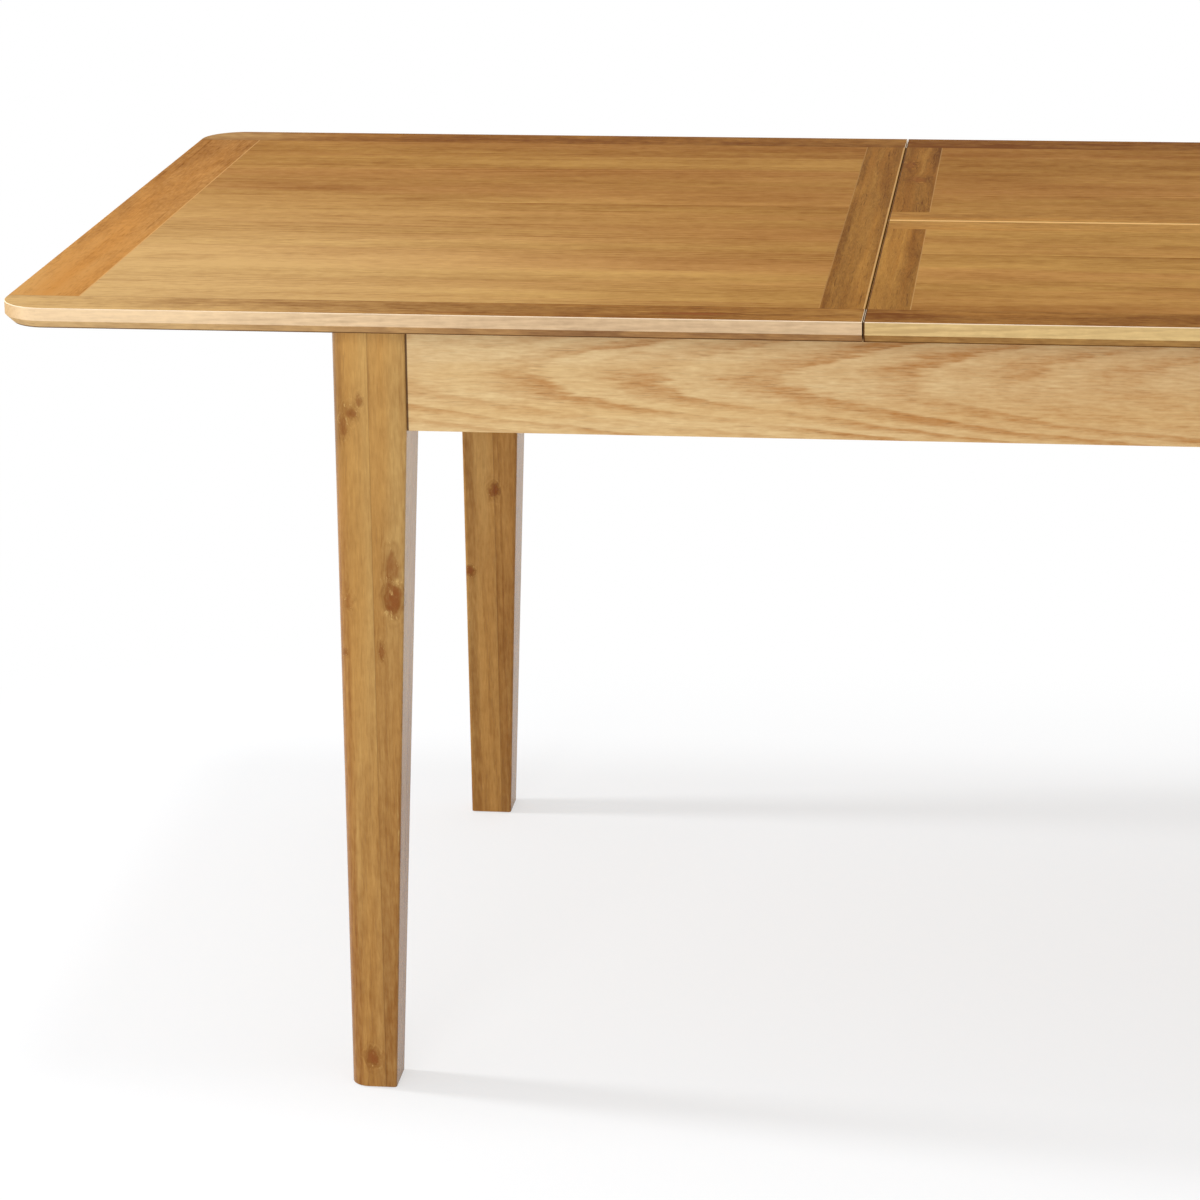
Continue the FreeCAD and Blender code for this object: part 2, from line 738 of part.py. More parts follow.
# ---------------------------------------------------------------- the leaf
def make_leaf_slab():
    """The rear half of the leaf: square at the fold and at both joints."""
    body = new_body("leaf_slab")
    sketch = body_sketch(body, "leaf_slab_outline", underside)
    draw_rectangle(sketch, across(leaf_end), (leaf_inner, half_width), [None] * 4)
    pad = add_pad(body, "leaf_slab_pad", sketch, "top_thickness")
    outer = measure(half_width)
    finish_slab(body, pad, lambda limits: abs(limits.YMin - outer) > CLOSE)
    return body


def make_hinge_link(name, x, spare):
    """An arc round the fold axis that hangs from the rear cup into the front one."""
    width = f"link_width + 2 * ({spare})"
    start = (f"{x} - ({width}) / 2", "0", fold_level)
    outer = f"{link_outer} + {spare}"
    arc = ring(f"{name}_ring", outer, f"{link_inner} - ({spare})", width, *start, turn="x")
    y = (f"-(link_reach + {spare})", "link_reach")
    z = (f"{fold_level} - ({outer}) - {OVERSHOOT}", f"{cup_level} + hinge_cup_radius / 2")
    return common(name, arc, box(f"{name}_bounds", around(x, width), y, z))


def make_hinges():
    """Front cups, rear cups with their links, and the plain cups that cut their seats."""
    fronts, rears, seats = [], [], []
    for name, x in (("left", "-hinge_place"), ("middle", "0"), ("right", "hinge_place")):
        centre = (x, leaf_inner, cup_level)
        cup = rod(f"{name}_cup", "hinge_cup_radius", "hinge_cup_depth", *centre, turn="y")
        link = make_hinge_link(f"{name}_link", x, "0")
        space = make_hinge_link(f"{name}_link_space", x, "fit_gap")
        front_cup = mirror(f"{name}_front_cup", cup, FRONT_TO_REAR)
        rears.append(fuse(f"{name}_rear_hinge", [cup, link]))
        fronts.append(cut(f"{name}_front_hinge", front_cup, space))
        seats.append(cup)
    node("leaf_front_hinges", gather("leaf_front_hinges", fronts))
    node("leaf_rear_hinges", gather("leaf_rear_hinges", rears))
    return gather("hinge_seats", seats)


def make_leaf():
    slab = make_leaf_slab()
    hinge_seats = make_hinges()
    pin_line = (f"-{keeper_x}", "catch_place", pin_foot)
    keeper = rod("keeper", "pin_radius", f"{pin_top} - {pin_foot}", *pin_line)
    keepers = both_sides("leaf_keepers", keeper, LEFT_TO_RIGHT)

    whole_x = across(f"{leaf_end} + {OVERSHOOT}")
    strip_x = span(f"{leaf_end} - leaf_strip", f"{leaf_end} + {OVERSHOOT}")
    middle_x = across(f"{leaf_end} - leaf_strip")
    inner_y = ("hinge_lipping", lipping_in)
    outer_y = (lipping_in, f"{half_width} + {OVERSHOOT}")
    hinge_lipping = slab_piece("hinge_lipping_blank", slab, whole_x, ("0", "hinge_lipping"))
    strip = cut("leaf_strip_left", slab_piece("leaf_strip_blank", slab, strip_x, inner_y), keeper)

    rear = {
        "field": slab_piece("leaf_field", slab, middle_x, inner_y),
        "lipping": slab_piece("leaf_lipping", slab, whole_x, outer_y),
        "hinge_lipping": cut("leaf_hinge_lipping", hinge_lipping, hinge_seats),
        "strip_left": strip,
        "strip_right": mirror("leaf_strip_right", strip, LEFT_TO_RIGHT),
        "keepers": keepers,
    }
    for name, piece in rear.items():
        place_both(piece, f"leaf_rear_{name}", f"leaf_front_{name}", FRONT_TO_REAR)


# ---------------------------------------------------------------- the table
make_frame()
make_half()
place_quarters("catch", make_catch())
make_leaf()
document.recompute()

for item in document.Objects:
    if "Invalid" in item.State or "Error" in item.State:
        raise RuntimeError(f"{item.Name} ({item.Label}) could not be built: {item.State}")
for name, piece in nodes.items():
    if piece.Shape.isNull() or not piece.Shape.isValid() or piece.Shape.Volume <= 0:
        raise RuntimeError(f"{name} has no valid shape")

os.makedirs("parts", exist_ok=True)
for name, piece in nodes.items():
    piece.Shape.exportStep(f"parts/{name}.step")
print(f"{len(nodes)} nodes, {sum(len(piece.Shape.Solids) for piece in nodes.values())} solids")
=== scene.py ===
import json
import math
import random

import bpy
from mathutils import Euler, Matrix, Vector


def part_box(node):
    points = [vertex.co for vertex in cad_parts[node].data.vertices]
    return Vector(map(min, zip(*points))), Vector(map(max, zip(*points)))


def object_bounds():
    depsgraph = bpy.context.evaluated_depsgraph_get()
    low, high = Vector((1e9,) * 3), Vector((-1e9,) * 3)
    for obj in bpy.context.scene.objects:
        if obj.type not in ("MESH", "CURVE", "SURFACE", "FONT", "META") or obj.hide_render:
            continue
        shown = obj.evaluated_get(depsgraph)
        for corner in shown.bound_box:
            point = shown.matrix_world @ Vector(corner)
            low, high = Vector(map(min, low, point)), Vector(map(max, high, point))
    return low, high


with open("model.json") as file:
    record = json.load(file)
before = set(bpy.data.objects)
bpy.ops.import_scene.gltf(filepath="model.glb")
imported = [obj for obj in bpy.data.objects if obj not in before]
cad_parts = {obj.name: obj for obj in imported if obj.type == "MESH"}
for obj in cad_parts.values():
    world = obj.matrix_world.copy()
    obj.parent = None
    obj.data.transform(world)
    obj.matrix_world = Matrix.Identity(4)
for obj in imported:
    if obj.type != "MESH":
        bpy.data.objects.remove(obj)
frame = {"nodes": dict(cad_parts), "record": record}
cad_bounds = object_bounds()

# ---------------------------------------------------------------- places read from the frame
TABLE_HIGH = Vector(cad_bounds[1])
LEAF_LOW, LEAF_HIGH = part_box("leaf_front_lipping")  # as long and as thick as the leaf
APRON_LOW, APRON_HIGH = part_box("apron_front")
LEG_LOW, LEG_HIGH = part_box("leg_front_left")
TOP_FACE = TABLE_HIGH.z
UNDER_FACE = LEAF_LOW.z
LEG_FRONT, LEG_REAR = LEG_LOW.y, -LEG_LOW.y  # the outer faces of the front and the rear legs
OUTWARD = {"left": -1, "right": 1, "front": -1, "rear": 1}  # left and right along x, the rest along y


def inner_and_outer(low, high, side):
    """The two ends of a stretch: first the one nearer the table's middle, then the one at its side."""
    return (high, low) if OUTWARD[side] < 0 else (low, high)


# ---------------------------------------------------------------- colours
def srgb(red, green, blue):
    """A colour given as 0 to 255 per channel, as the linear colour that a shader takes."""
    channels = []
    for value in (red, green, blue):
        value /= 255
        channels.append(value / 12.92 if value <= 0.04045 else ((value + 0.055) / 1.055) ** 2.4)
    return (*channels, 1.0)


WHITE = (1.0, 1.0, 1.0, 1.0)
# pale wood, dark wood and pale wood of a warmer tint
FIELD = srgb(200, 154, 79), srgb(128, 74, 12), srgb(198, 145, 77)
LIPPING = srgb(197, 148, 75), srgb(111, 61, 9), srgb(193, 135, 60)
END_STRIP = srgb(198, 145, 78), srgb(128, 75, 16), srgb(192, 131, 58)
CROSS = srgb(184, 131, 56), srgb(98, 55, 8), srgb(170, 112, 38)
APRON = srgb(238, 213, 162), srgb(182, 124, 64), srgb(231, 198, 141)
LEG = srgb(218, 180, 112), srgb(136, 86, 32), srgb(210, 160, 88)
# the colour of a painted pool of light on the top, partly paler wood
POOL_COLOUR = srgb(205, 166, 107)
HALF_LIT_EDGE, LEAF_LIT_EDGE = srgb(253, 222, 180), srgb(255, 222, 156)  # painted light on the upright edges of the top, which face the front light
END_LIT_EDGE = srgb(204, 170, 126)  # the same painted light, dimmer where they turn to the table's ends
# a painted highlight along the arris above the edges
ARRIS_HIGHLIGHT_COLOUR = srgb(252, 232, 204)
# pale lines at joints: painted highlights on arrises, and pale glue lines
HIGHLIGHT_AND_GLUE_COLOUR = srgb(232, 186, 120)
PORE_COLOUR = srgb(98, 56, 20)
KNOT_COLOUR = srgb(136, 76, 28)
# dark joint lines, and painted shade in gaps and at the bevel's foot
SHADE_AND_JOINT_COLOUR = srgb(74, 42, 16)
BEECH_LIGHT, BEECH_DARK = srgb(222, 186, 140), srgb(192, 150, 104)
BEECH_FLECK = srgb(150, 104, 64)
ZINC = srgb(186, 188, 192)
ALUMINIUM = srgb(206, 208, 210)
BRASS = srgb(204, 164, 92)
METAL_STAIN = srgb(120, 120, 122)
NYLON_LIGHT, NYLON_DARK = srgb(58, 55, 52), srgb(36, 34, 32)


# ---------------------------------------------------------------- node building
class Graph:
    """Short calls that add nodes to one tree and return their output sockets."""

    def __init__(self, tree):
        self.tree = tree

    def add(self, kind, inputs=(), **settings):
        made = self.tree.nodes.new(kind)
        for name, value in settings.items():
            setattr(made, name, value)
        for key, value in dict(inputs).items():
            self.feed(made.inputs[key], value)
        return made

    def feed(self, socket, value):
        if isinstance(value, bpy.types.NodeSocket):
            self.tree.links.new(value, socket)
        else:
            socket.default_value = value

    def math(self, operation, first, second=0.0, third=0.0, clamp=False):
        inputs = {0: first, 1: second, 2: third}
        return self.add("ShaderNodeMath", inputs, operation=operation, use_clamp=clamp).outputs[0]

    def vector(self, operation, first, second=(0.0, 0.0, 0.0)):
        inputs = {0: first, 1: second}
        return self.add("ShaderNodeVectorMath", inputs, operation=operation).outputs[0]

    def measure(self, operation, first, second=(0.0, 0.0, 0.0)):
        """The number, such as a length, that a vector operation gives."""
        inputs = {0: first, 1: second}
        return self.add("ShaderNodeVectorMath", inputs, operation=operation).outputs["Value"]

    def combine(self, x, y, z):
        return self.add("ShaderNodeCombineXYZ", {0: x, 1: y, 2: z}).outputs[0]

    def separate(self, vector):
        return self.add("ShaderNodeSeparateXYZ", {0: vector}).outputs

    def coordinate(self, kind):
        return self.add("ShaderNodeTexCoord").outputs[kind]

    def noise(self, vector, stretch, detail=2.0, roughness=0.5):
        """Noise whose features repeat about every 1 / stretch metres along each axis."""
        scaled = self.vector("MULTIPLY", vector, stretch)
        inputs = {"Vector": scaled, "Scale": 1.0, "Detail": detail, "Roughness": roughness}
        return self.add("ShaderNodeTexNoise", inputs).outputs[0]

    def centred_noise(self, vector, stretch, detail=2.0, roughness=0.5):
        """The same noise about zero."""
        return self.math("SUBTRACT", self.noise(vector, stretch, detail, roughness), 0.5)

    def between(self, value, low, high, start=0.0, end=1.0):
        """Maps low..high smoothly to start..end, and holds it outside."""
        inputs = {"Value": value, "From Min": low, "From Max": high, "To Min": start, "To Max": end}
        return self.add("ShaderNodeMapRange", inputs, interpolation_type="SMOOTHSTEP").outputs[0]

    def mix(self, factor, first, second, blend="MIX"):
        """Colour mix: second shows where factor is 1."""
        inputs = {0: factor, 6: first, 7: second}
        settings = {"data_type": "RGBA", "blend_type": blend, "clamp_factor": True}
        return self.add("ShaderNodeMix", inputs, **settings).outputs[2]

    def steps(self, value, starts, colours):
        """A colour that jumps at each start; value runs from 0 to 1."""
        ramp = self.add("ShaderNodeValToRGB", {0: value})
        ramp.color_ramp.interpolation = "CONSTANT"
        elements = ramp.color_ramp.elements
        while len(elements) < len(starts):
            elements.new(1.0)
        for element, start, colour in zip(elements, starts, colours):
            element.position = start
            element.color = (*colour, 1.0)
        return ramp.outputs[0]

    def bump(self, height, strength, distance):
        inputs = {"Height": height, "Strength": strength, "Distance": distance}
        return self.add("ShaderNodeBump", inputs).outputs[0]


def new_group(name, numbers, outputs):
    """A node group that takes a vector and the named numbers, and gives numbers."""
    group = bpy.data.node_groups.new(name, "ShaderNodeTree")
    group.interface.new_socket("Vector", in_out="INPUT", socket_type="NodeSocketVector")
    for key, value in numbers.items():
        socket = group.interface.new_socket(key, in_out="INPUT", socket_type="NodeSocketFloat")
        socket.default_value = value
    for key in outputs:
        group.interface.new_socket(key, in_out="OUTPUT", socket_type="NodeSocketFloat")
    graph = Graph(group)
    return group, graph, graph.add("NodeGroupInput").outputs, graph.add("NodeGroupOutput").inputs


# ---------------------------------------------------------------- the grain of oak
RING_WIDTH = 0.0044  # metres of radius per year
WANDER_REACH, RIPPLE_REACH, FEATHER_REACH = 0.02, 0.0024, 0.0034  # metres that noise moves a ring
SEED_STEP = 3.7  # how much faster a seed moves the figure along the grain than across it
MIDDLE_TONE = 0.34  # where streaks, fibres and clouds are neither dark nor pale
# how much of each feature of the grain a plain board has
GRAIN_DEFAULTS = {
    "taper": 0.04,  # metres of radius that a ring gains per metre of board
    "rings": 1.0,  # the year rings' tone
    "streaks": 1.0,  # broad and narrow streaks of tone
    "feather": 1.0,  # how frayed the rings are
    "wander": 1.0,  # how far the rings stray
    "threads": 1.0,  # thin broken lines along the grain
    "mottle": 1.0,  # small clouds of tone
    "fibres": 1.0,  # the finest lines and flecks
    "wave": 0.0,  # metres by which the whole figure waves
}


def ring_radius(graph, vector, place, given):
    """The radius that counts the years: the distance from the pith, tapered and moved by noise."""
    along, across, depth = graph.separate(vector)
    wander = graph.centred_noise(place, (1.7, 7.0, 7.0), 2.0)
    ripple = graph.centred_noise(place, (9.0, 60.0, 60.0), 2.0)
    feather = graph.centred_noise(place, (26.0, 430.0, 430.0), 2.0)
    wander_reach = graph.math("MULTIPLY", given["wander"], WANDER_REACH)
    feather_reach = graph.math("MULTIPLY", given["feather"], FEATHER_REACH)
    across_squared = graph.math("MULTIPLY", across, across)
    depth_squared = graph.math("MULTIPLY", depth, depth)
    radius = graph.math("SQRT", graph.math("ADD", across_squared, depth_squared))
    radius = graph.math("MULTIPLY_ADD", along, graph.math("MULTIPLY", given["taper"], -1.0), radius)
    radius = graph.math("MULTIPLY_ADD", wander, wander_reach, radius)
    radius = graph.math("MULTIPLY_ADD", ripple, RIPPLE_REACH, radius)
    return graph.math("MULTIPLY_ADD", feather, feather_reach, radius)


def early_wood(graph, place, radius):
    """The porous early wood of each year: it starts at once and fades into the plain late wood."""
    years = graph.math("DIVIDE", radius, RING_WIDTH)
    year = graph.math("FRACT", years)
    early = graph.math("MULTIPLY", graph.between(year, 0.0, 0.16), graph.between(year, 0.8, 0.22))
    whole_years = graph.math("FLOOR", years)
    chance = graph.add("ShaderNodeTexWhiteNoise", {"W": whole_years}, noise_dimensions="1D")
    strength = graph.math("MULTIPLY_ADD", chance.outputs[0], 0.75, 0.25)
    patch = graph.between(graph.noise(place, (3.0, 26.0, 26.0), 2.0), 0.34, 0.62, 0.3, 1.0)
    return graph.math("MULTIPLY", early, graph.math("MULTIPLY", strength, patch))


def grain_streaks(graph, place):
    broad = graph.centred_noise(place, (1.3, 11.0, 11.0), 3.0, 0.6)
    narrow = graph.centred_noise(place, (7.0, 30.0, 30.0), 4.0, 0.58)
    calm = graph.between(graph.noise(place, (2.0, 15.0, 15.0), 1.0), 0.35, 0.65, 0.35, 1.25)
    narrow = graph.math("MULTIPLY", narrow, calm)
    return graph.math("MULTIPLY_ADD", narrow, 0.85, graph.math("MULTIPLY", broad, 1.1))


def grain_threads(graph, place):
    broken = graph.between(graph.noise(place, (16.0, 70.0, 70.0), 2.0), 0.42, 0.62)
    threads = graph.between(graph.noise(place, (2.6, 230.0, 230.0), 2.0), 0.58, 0.7)
    return graph.math("MULTIPLY", threads, broken)


def make_grain_group():
    """Solid oak about its pith: the vector is (along the grain, and two distances from the pith).

    Tone is 0 where the wood is pale and 1 where it is dark, Warm is 1 where it is redder, Pore is 1
    in an open pore, and Height is the relief that they leave in a lacquered face.
    """
    numbers = {"seed": 0.0, **GRAIN_DEFAULTS}
    group, graph, given, results = new_group("oak_grain", numbers, ("Tone", "Warm", "Pore", "Height"))
    seed = given["seed"]
    shift = graph.combine(graph.math("MULTIPLY", seed, SEED_STEP), seed, seed)
    place = graph.vector("ADD", given["Vector"], shift)
    bend = graph.math("MULTIPLY", graph.centred_noise(place, (7.0, 6.0, 6.0), 2.0), given["wave"])
    place = graph.vector("ADD", place, graph.combine(0.0, bend, bend))

    early = early_wood(graph, place, ring_radius(graph, given["Vector"], place, given))
    fibres = graph.centred_noise(place, (52.0, 480.0, 480.0), 2.0, 0.6)
    tone = graph.math("MULTIPLY_ADD", grain_streaks(graph, place), given["streaks"], MIDDLE_TONE)
    for feature, option, share in (
        (early, "rings", 0.75),
        (fibres, "fibres", 0.6),
        (graph.centred_noise(place, (80.0, 300.0, 300.0), 2.0, 0.6), "fibres", 0.45),
        (graph.centred_noise(place, (70.0, 75.0, 75.0), 2.0, 0.6), "mottle", 0.4),
        (grain_threads(graph, place), "threads", 0.24),
    ):
        tone = graph.math("MULTIPLY_ADD", graph.math("MULTIPLY", feature, given[option]), share, tone)
    dashes = graph.between(graph.noise(place, (48.0, 900.0, 900.0), 1.0), 0.58, 0.68)
    pore = graph.math("MULTIPLY", dashes, graph.math("MULTIPLY_ADD", early, 0.8, 0.2))
    warm = graph.between(graph.noise(place, (1.1, 17.0, 17.0), 3.0, 0.6), 0.36, 0.66)
    height = graph.math("MULTIPLY_ADD", pore, -1.0, graph.math("MULTIPLY", fibres, 0.5))
    graph.feed(results["Tone"], tone)
    graph.feed(results["Warm"], warm)
    graph.feed(results["Pore"], pore)
    graph.feed(results["Height"], height)
    return group


GRAIN_GROUP = make_grain_group()


# ---------------------------------------------------------------- staves, knots and lines
TONE_ZERO = 0.5  # what a colour channel holds for a tone of 0, since a tone can be negative
STAVE_SHIFT = 0.5  # metres over which the staves of one field are scattered in the log
STAVE_SEEDS = 11.0  # range of the seeds that the staves of one field get
SECOND_STAVE = {"seed": 5.3, "shift": 0.07, "tone": 0.16}  # of a leg, against its first
KNOT_TURN = 0.007  # metres by which a knot draws the grain aside
KNOT_WARP = (1.5, 1.5, 1.5)  # how far noise deforms a knot, in its half widths
SWIRL_RINGS, SWIRL_NOISE = 12.0, 9.0  # radians of a swirl per half width, and per unit of noise
KNOT_STAIN, KNOT_SWIRL = 0.32, 0.075  # the tone that a knot adds round itself, and that its swirls do
KNOT_JOINS = ("ADD", "MAXIMUM", "ADD", "MAXIMUM", "MAXIMUM")  # how each look of several knots joins
# the faces that carry a line: an axis, whether both its directions count, and the part of the
# normal along it at which the line is gone and at which it is whole
FACINGS = {
    "not_ends": (0, True, 0.7, 0.3),
    "bevel": (2, True, 0.98, 0.9),
    "upper": (2, False, 0.3, 0.65),
}


def stave_values(graph, coordinate, staves, seed):
    """A tone and two random numbers that stay the same across each stave."""
    chance = random.Random(seed)
    borders, tones = staves
    low, high = borders[0], borders[-1]
    starts = [(border - low) / (high - low) for border in borders[:-1]]
    colours = [(TONE_ZERO + tone, chance.random(), chance.random()) for tone in tones]
    span = graph.math("DIVIDE", graph.math("SUBTRACT", coordinate, low), high - low, clamp=True)
    return graph.add("ShaderNodeSeparateColor", {0: graph.steps(span, starts, colours)}).outputs


def one_knot(graph, place, centre, reach, strength):
    """How far a knot draws the grain aside, and how dark, swirled, brown and pale it leaves it."""
    scaled = graph.vector("DIVIDE", place, reach)
    rough = graph.centred_noise(scaled, (1.5, 1.5, 1.5), 3.0, 0.68)
    warp = graph.add("ShaderNodeTexNoise", {"Vector": scaled, "Scale": 0.8, "Detail": 2.0})
    warp = graph.vector("SUBTRACT", warp.outputs["Color"], (0.5, 0.5, 0.5))
    away = graph.vector("DIVIDE", graph.vector("SUBTRACT", place, centre), reach)
    away = graph.vector("ADD", away, graph.vector("MULTIPLY", warp, KNOT_WARP))
    square = graph.measure("DOT_PRODUCT", away, away)
    near = graph.math("EXPONENT", graph.math("MULTIPLY", square, -1.0))
    distance = graph.math("SQRT", square)

    rings = graph.math("MULTIPLY", distance, SWIRL_RINGS)
    waves = graph.math("SINE", graph.math("MULTIPLY_ADD", rough, SWIRL_NOISE, rings))
    worn = graph.math("MULTIPLY_ADD", rough, 1.1, near)
    core = graph.math("MULTIPLY", graph.between(worn, 0.3, 0.95), graph.between(near, 0.1, 0.4))
    rim = graph.math("MULTIPLY", graph.between(near, 0.06, 0.25), graph.between(near, 0.85, 0.5))

    turned = graph.math("MULTIPLY", near, KNOT_TURN)
    dark = graph.between(near, 0.02, 0.6, 0.0, strength)
    swirled = graph.math("MULTIPLY", waves, graph.between(distance, 2.4, 0.9, 0.0, strength))
    brown = graph.math("MULTIPLY", core, strength)
    pale = graph.math("MULTIPLY", rim, graph.between(rough, 0.08, 0.18))
    return turned, dark, swirled, brown, pale


def add_knots(graph, knots, row):
    """What one_knot gives, for all the knots of a board.

    A knot is its centre, its half widths along x, y and z, and its strength.
    """
    place = graph.combine(*row.values())
    totals = [0.0] * len(KNOT_JOINS)
    for centre, reach, strength in knots:
        looks = one_knot(graph, place, centre, reach, strength)
        totals = [graph.math(*joined) for joined in zip(KNOT_JOINS, totals, looks)]
    return totals


def add_lines(graph, row, lines):
    """How strong the strongest of the lines is at each place.

    A line is an axis, a place on it, a half width, a strength and the faces that carry it.
    """
    inside = 0.0
    for axis, place, reach, strength, facing in lines:
        away = graph.math("ABSOLUTE", graph.math("SUBTRACT", row[axis], place))
        line = graph.between(away, reach * 1.2, reach * 0.8, 0.0, strength)
        if facing:
            normal = graph.separate(graph.coordinate("Normal"))
            turned_to, both_ways, gone, whole = FACINGS[facing]
            towards = normal[turned_to]
            if both_ways:
                towards = graph.math("ABSOLUTE", towards)
            line = graph.math("MULTIPLY", line, graph.between(towards, gone, whole))
        inside = graph.math("MAXIMUM", inside, line)
    return inside


# ---------------------------------------------------------------- materials
def finish_material(name, build, **shader):
    """A material whose shader gets some plain numbers, and from build its colour and all the rest."""
    material = bpy.data.materials.new(name)
    material.use_nodes = True
    tree = material.node_tree
    bsdf = tree.nodes["Principled BSDF"]
    for socket, value in shader.items():
        bsdf.inputs[socket.replace("_", " ")].default_value = value
    build(Graph(tree), bsdf.inputs)
    return material


# what an oak board can be given; tones run from 0 for pale to 1 for dark wood
OAK_DEFAULTS = {
    **GRAIN_DEFAULTS,
    "fine": 1.0,  # how many times closer the figure is across the grain
    "tone": 0.0,
    "staves": None,  # borders of glued staves, and their tones
    "glue_line": None,  # where the two staves of a leg meet
    "drifts": (),  # each an axis, a start, an end and the tone gained between them
    "pale_spot": None,  # a painted pool of light, partly paler wood: a centre, a reach and the tone lost at the centre
    "bands": (),  # wide lines in which the wood is darker
    "knots": (),
    # pale lines: painted highlights on arrises, and glue lines
    "pale_lines": (),
    # dark joint lines, and lines of painted shade
    "dark_lines": (),
    "pale_edge": 0.0,  # how strongly the upright faces take the edge's painted light
    "edge_colour": HALF_LIT_EDGE,
    "gloss": 0.015,
    "rough": 0.5,
}


def part_the_staves(graph, coordinate, across, seed, wanted):
    """Gives each stave its own piece of the figure, its own seed and its own tone."""
    shade = wanted["tone"]
    if wanted["staves"]:
        own_tone, random_place, random_seed = stave_values(graph, coordinate, wanted["staves"], seed)
        shift = graph.math("MULTIPLY_ADD", random_place, STAVE_SHIFT, -STAVE_SHIFT / 2)
        across = graph.math("ADD", across, shift)
        seed = graph.math("MULTIPLY_ADD", random_seed, STAVE_SEEDS, seed)
        shade = graph.math("ADD", own_tone, shade - TONE_ZERO)
    if wanted["glue_line"] is not None:
        second = graph.math("GREATER_THAN", coordinate, wanted["glue_line"])
        seed = graph.math("MULTIPLY_ADD", second, SECOND_STAVE["seed"], seed)
        across = graph.math("MULTIPLY_ADD", second, SECOND_STAVE["shift"], across)
        shade = graph.math("MULTIPLY_ADD", second, SECOND_STAVE["tone"], shade)
    return across, seed, shade


def shade_by_place(graph, place, row, shade, wanted):
    """Adds a board's drifts, painted pool of light and bands to its tone, and gives the pool's own
    strength too.
    """
    for axis, start, end, amount in wanted["drifts"]:
        shade = graph.math("ADD", graph.between(row[axis], start, end, 0.0, amount), shade)
    pooled = 0.0
    if wanted["pale_spot"]:
        centre, reach, amount = wanted["pale_spot"]
        pooled = graph.between(graph.measure("DISTANCE", place, centre), 0.0, reach, 1.0, 0.0)
        shade = graph.math("MULTIPLY_ADD", pooled, -amount, shade)
    if wanted["bands"]:
        shade = graph.math("ADD", add_lines(graph, row, wanted["bands"]), shade)
    return shade, pooled


def paint_edge_light(graph, colour, tone, dark, wanted):
    """The top's upright edges painted paler as lit faces, darker where their wood is dark, and a painted
    highlight on the arris above them.
    """
    normal = graph.separate(graph.coordinate("Normal"))
    level = graph.math("ABSOLUTE", normal[2])
    endwise = graph.between(graph.math("ABSOLUTE", normal[0]), 0.25, 0.9)
    edge = graph.mix(endwise, wanted["edge_colour"], END_LIT_EDGE)
    edge = graph.mix(graph.math("MULTIPLY", tone, 0.45), edge, dark)
    colour = graph.mix(graph.between(level, 0.85, 0.35, 0.0, wanted["pale_edge"]), colour, edge)
    not_upright = graph.between(normal[2], 0.1, 0.4)
    not_level = graph.between(normal[2], 0.97, 0.9)
    arris = graph.math("MULTIPLY", not_upright, not_level)
    return graph.mix(graph.math("MULTIPLY", arris, 0.9), colour, ARRIS_HIGHLIGHT_COLOUR)


def oak(name, axes, pith, colours, seed, **options):
    """Lacquered oak. axes names the row axes along the grain, across the face and into it."""
    wanted = {**OAK_DEFAULTS, **options}
    light, dark, warm_light = colours

    def build(graph, sockets):
        place = graph.coordinate("Object")
        row = dict(zip("xyz", graph.separate(place)))
        along, coordinate, inward = (row[axis] for axis in axes)
        across = graph.math("SUBTRACT", coordinate, pith[0])
        depth = graph.math("SUBTRACT", inward, pith[1])
        across, own_seed, shade = part_the_staves(graph, coordinate, across, seed, wanted)
        shade, pooled = shade_by_place(graph, place, row, shade, wanted)
        if wanted["knots"]:
            turned, stained, swirled, brown, pale = add_knots(graph, wanted["knots"], row)
            across = graph.math("ADD", across, turned)
            shade = graph.math("MULTIPLY_ADD", stained, KNOT_STAIN, shade)
            shade = graph.math("MULTIPLY_ADD", swirled, KNOT_SWIRL, shade)

        closer = (1.0, wanted["fine"], wanted["fine"])
        values = {key: wanted[key] for key in GRAIN_DEFAULTS}
        values["Vector"] = graph.vector("MULTIPLY", graph.combine(along, across, depth), closer)
        values["seed"] = own_seed
        grain = graph.add("ShaderNodeGroup", values, node_tree=GRAIN_GROUP).outputs
        tone = graph.math("ADD", grain["Tone"], shade, clamp=True)
        pale_wood = graph.mix(pooled, graph.mix(grain["Warm"], light, warm_light), POOL_COLOUR)
        colour = graph.mix(tone, pale_wood, dark)
        colour = graph.mix(graph.math("MULTIPLY", grain["Pore"], 0.4), colour, PORE_COLOUR)
        if wanted["knots"]:
            colour = graph.mix(graph.math("MULTIPLY", brown, 0.9), colour, KNOT_COLOUR)
            colour = graph.mix(graph.math("MULTIPLY", pale, 0.6), colour, light)
        if wanted["pale_edge"]:
            colour = paint_edge_light(graph, colour, tone, dark, wanted)
        for lines, line_colour in (("pale_lines", HIGHLIGHT_AND_GLUE_COLOUR), ("dark_lines", SHADE_AND_JOINT_COLOUR)):
            if wanted[lines]:
                colour = graph.mix(add_lines(graph, row, wanted[lines]), colour, line_colour)

        graph.feed(sockets["Base Color"], colour)
        rough = graph.math("MULTIPLY_ADD", grain["Pore"], 0.15, wanted["rough"])
        graph.feed(sockets["Roughness"], graph.math("MULTIPLY_ADD", tone, 0.06, rough))
        graph.feed(sockets["Normal"], graph.bump(grain["Height"], 0.25, 0.00012))

    return finish_material(name, build, Specular_IOR_Level=wanted["gloss"])


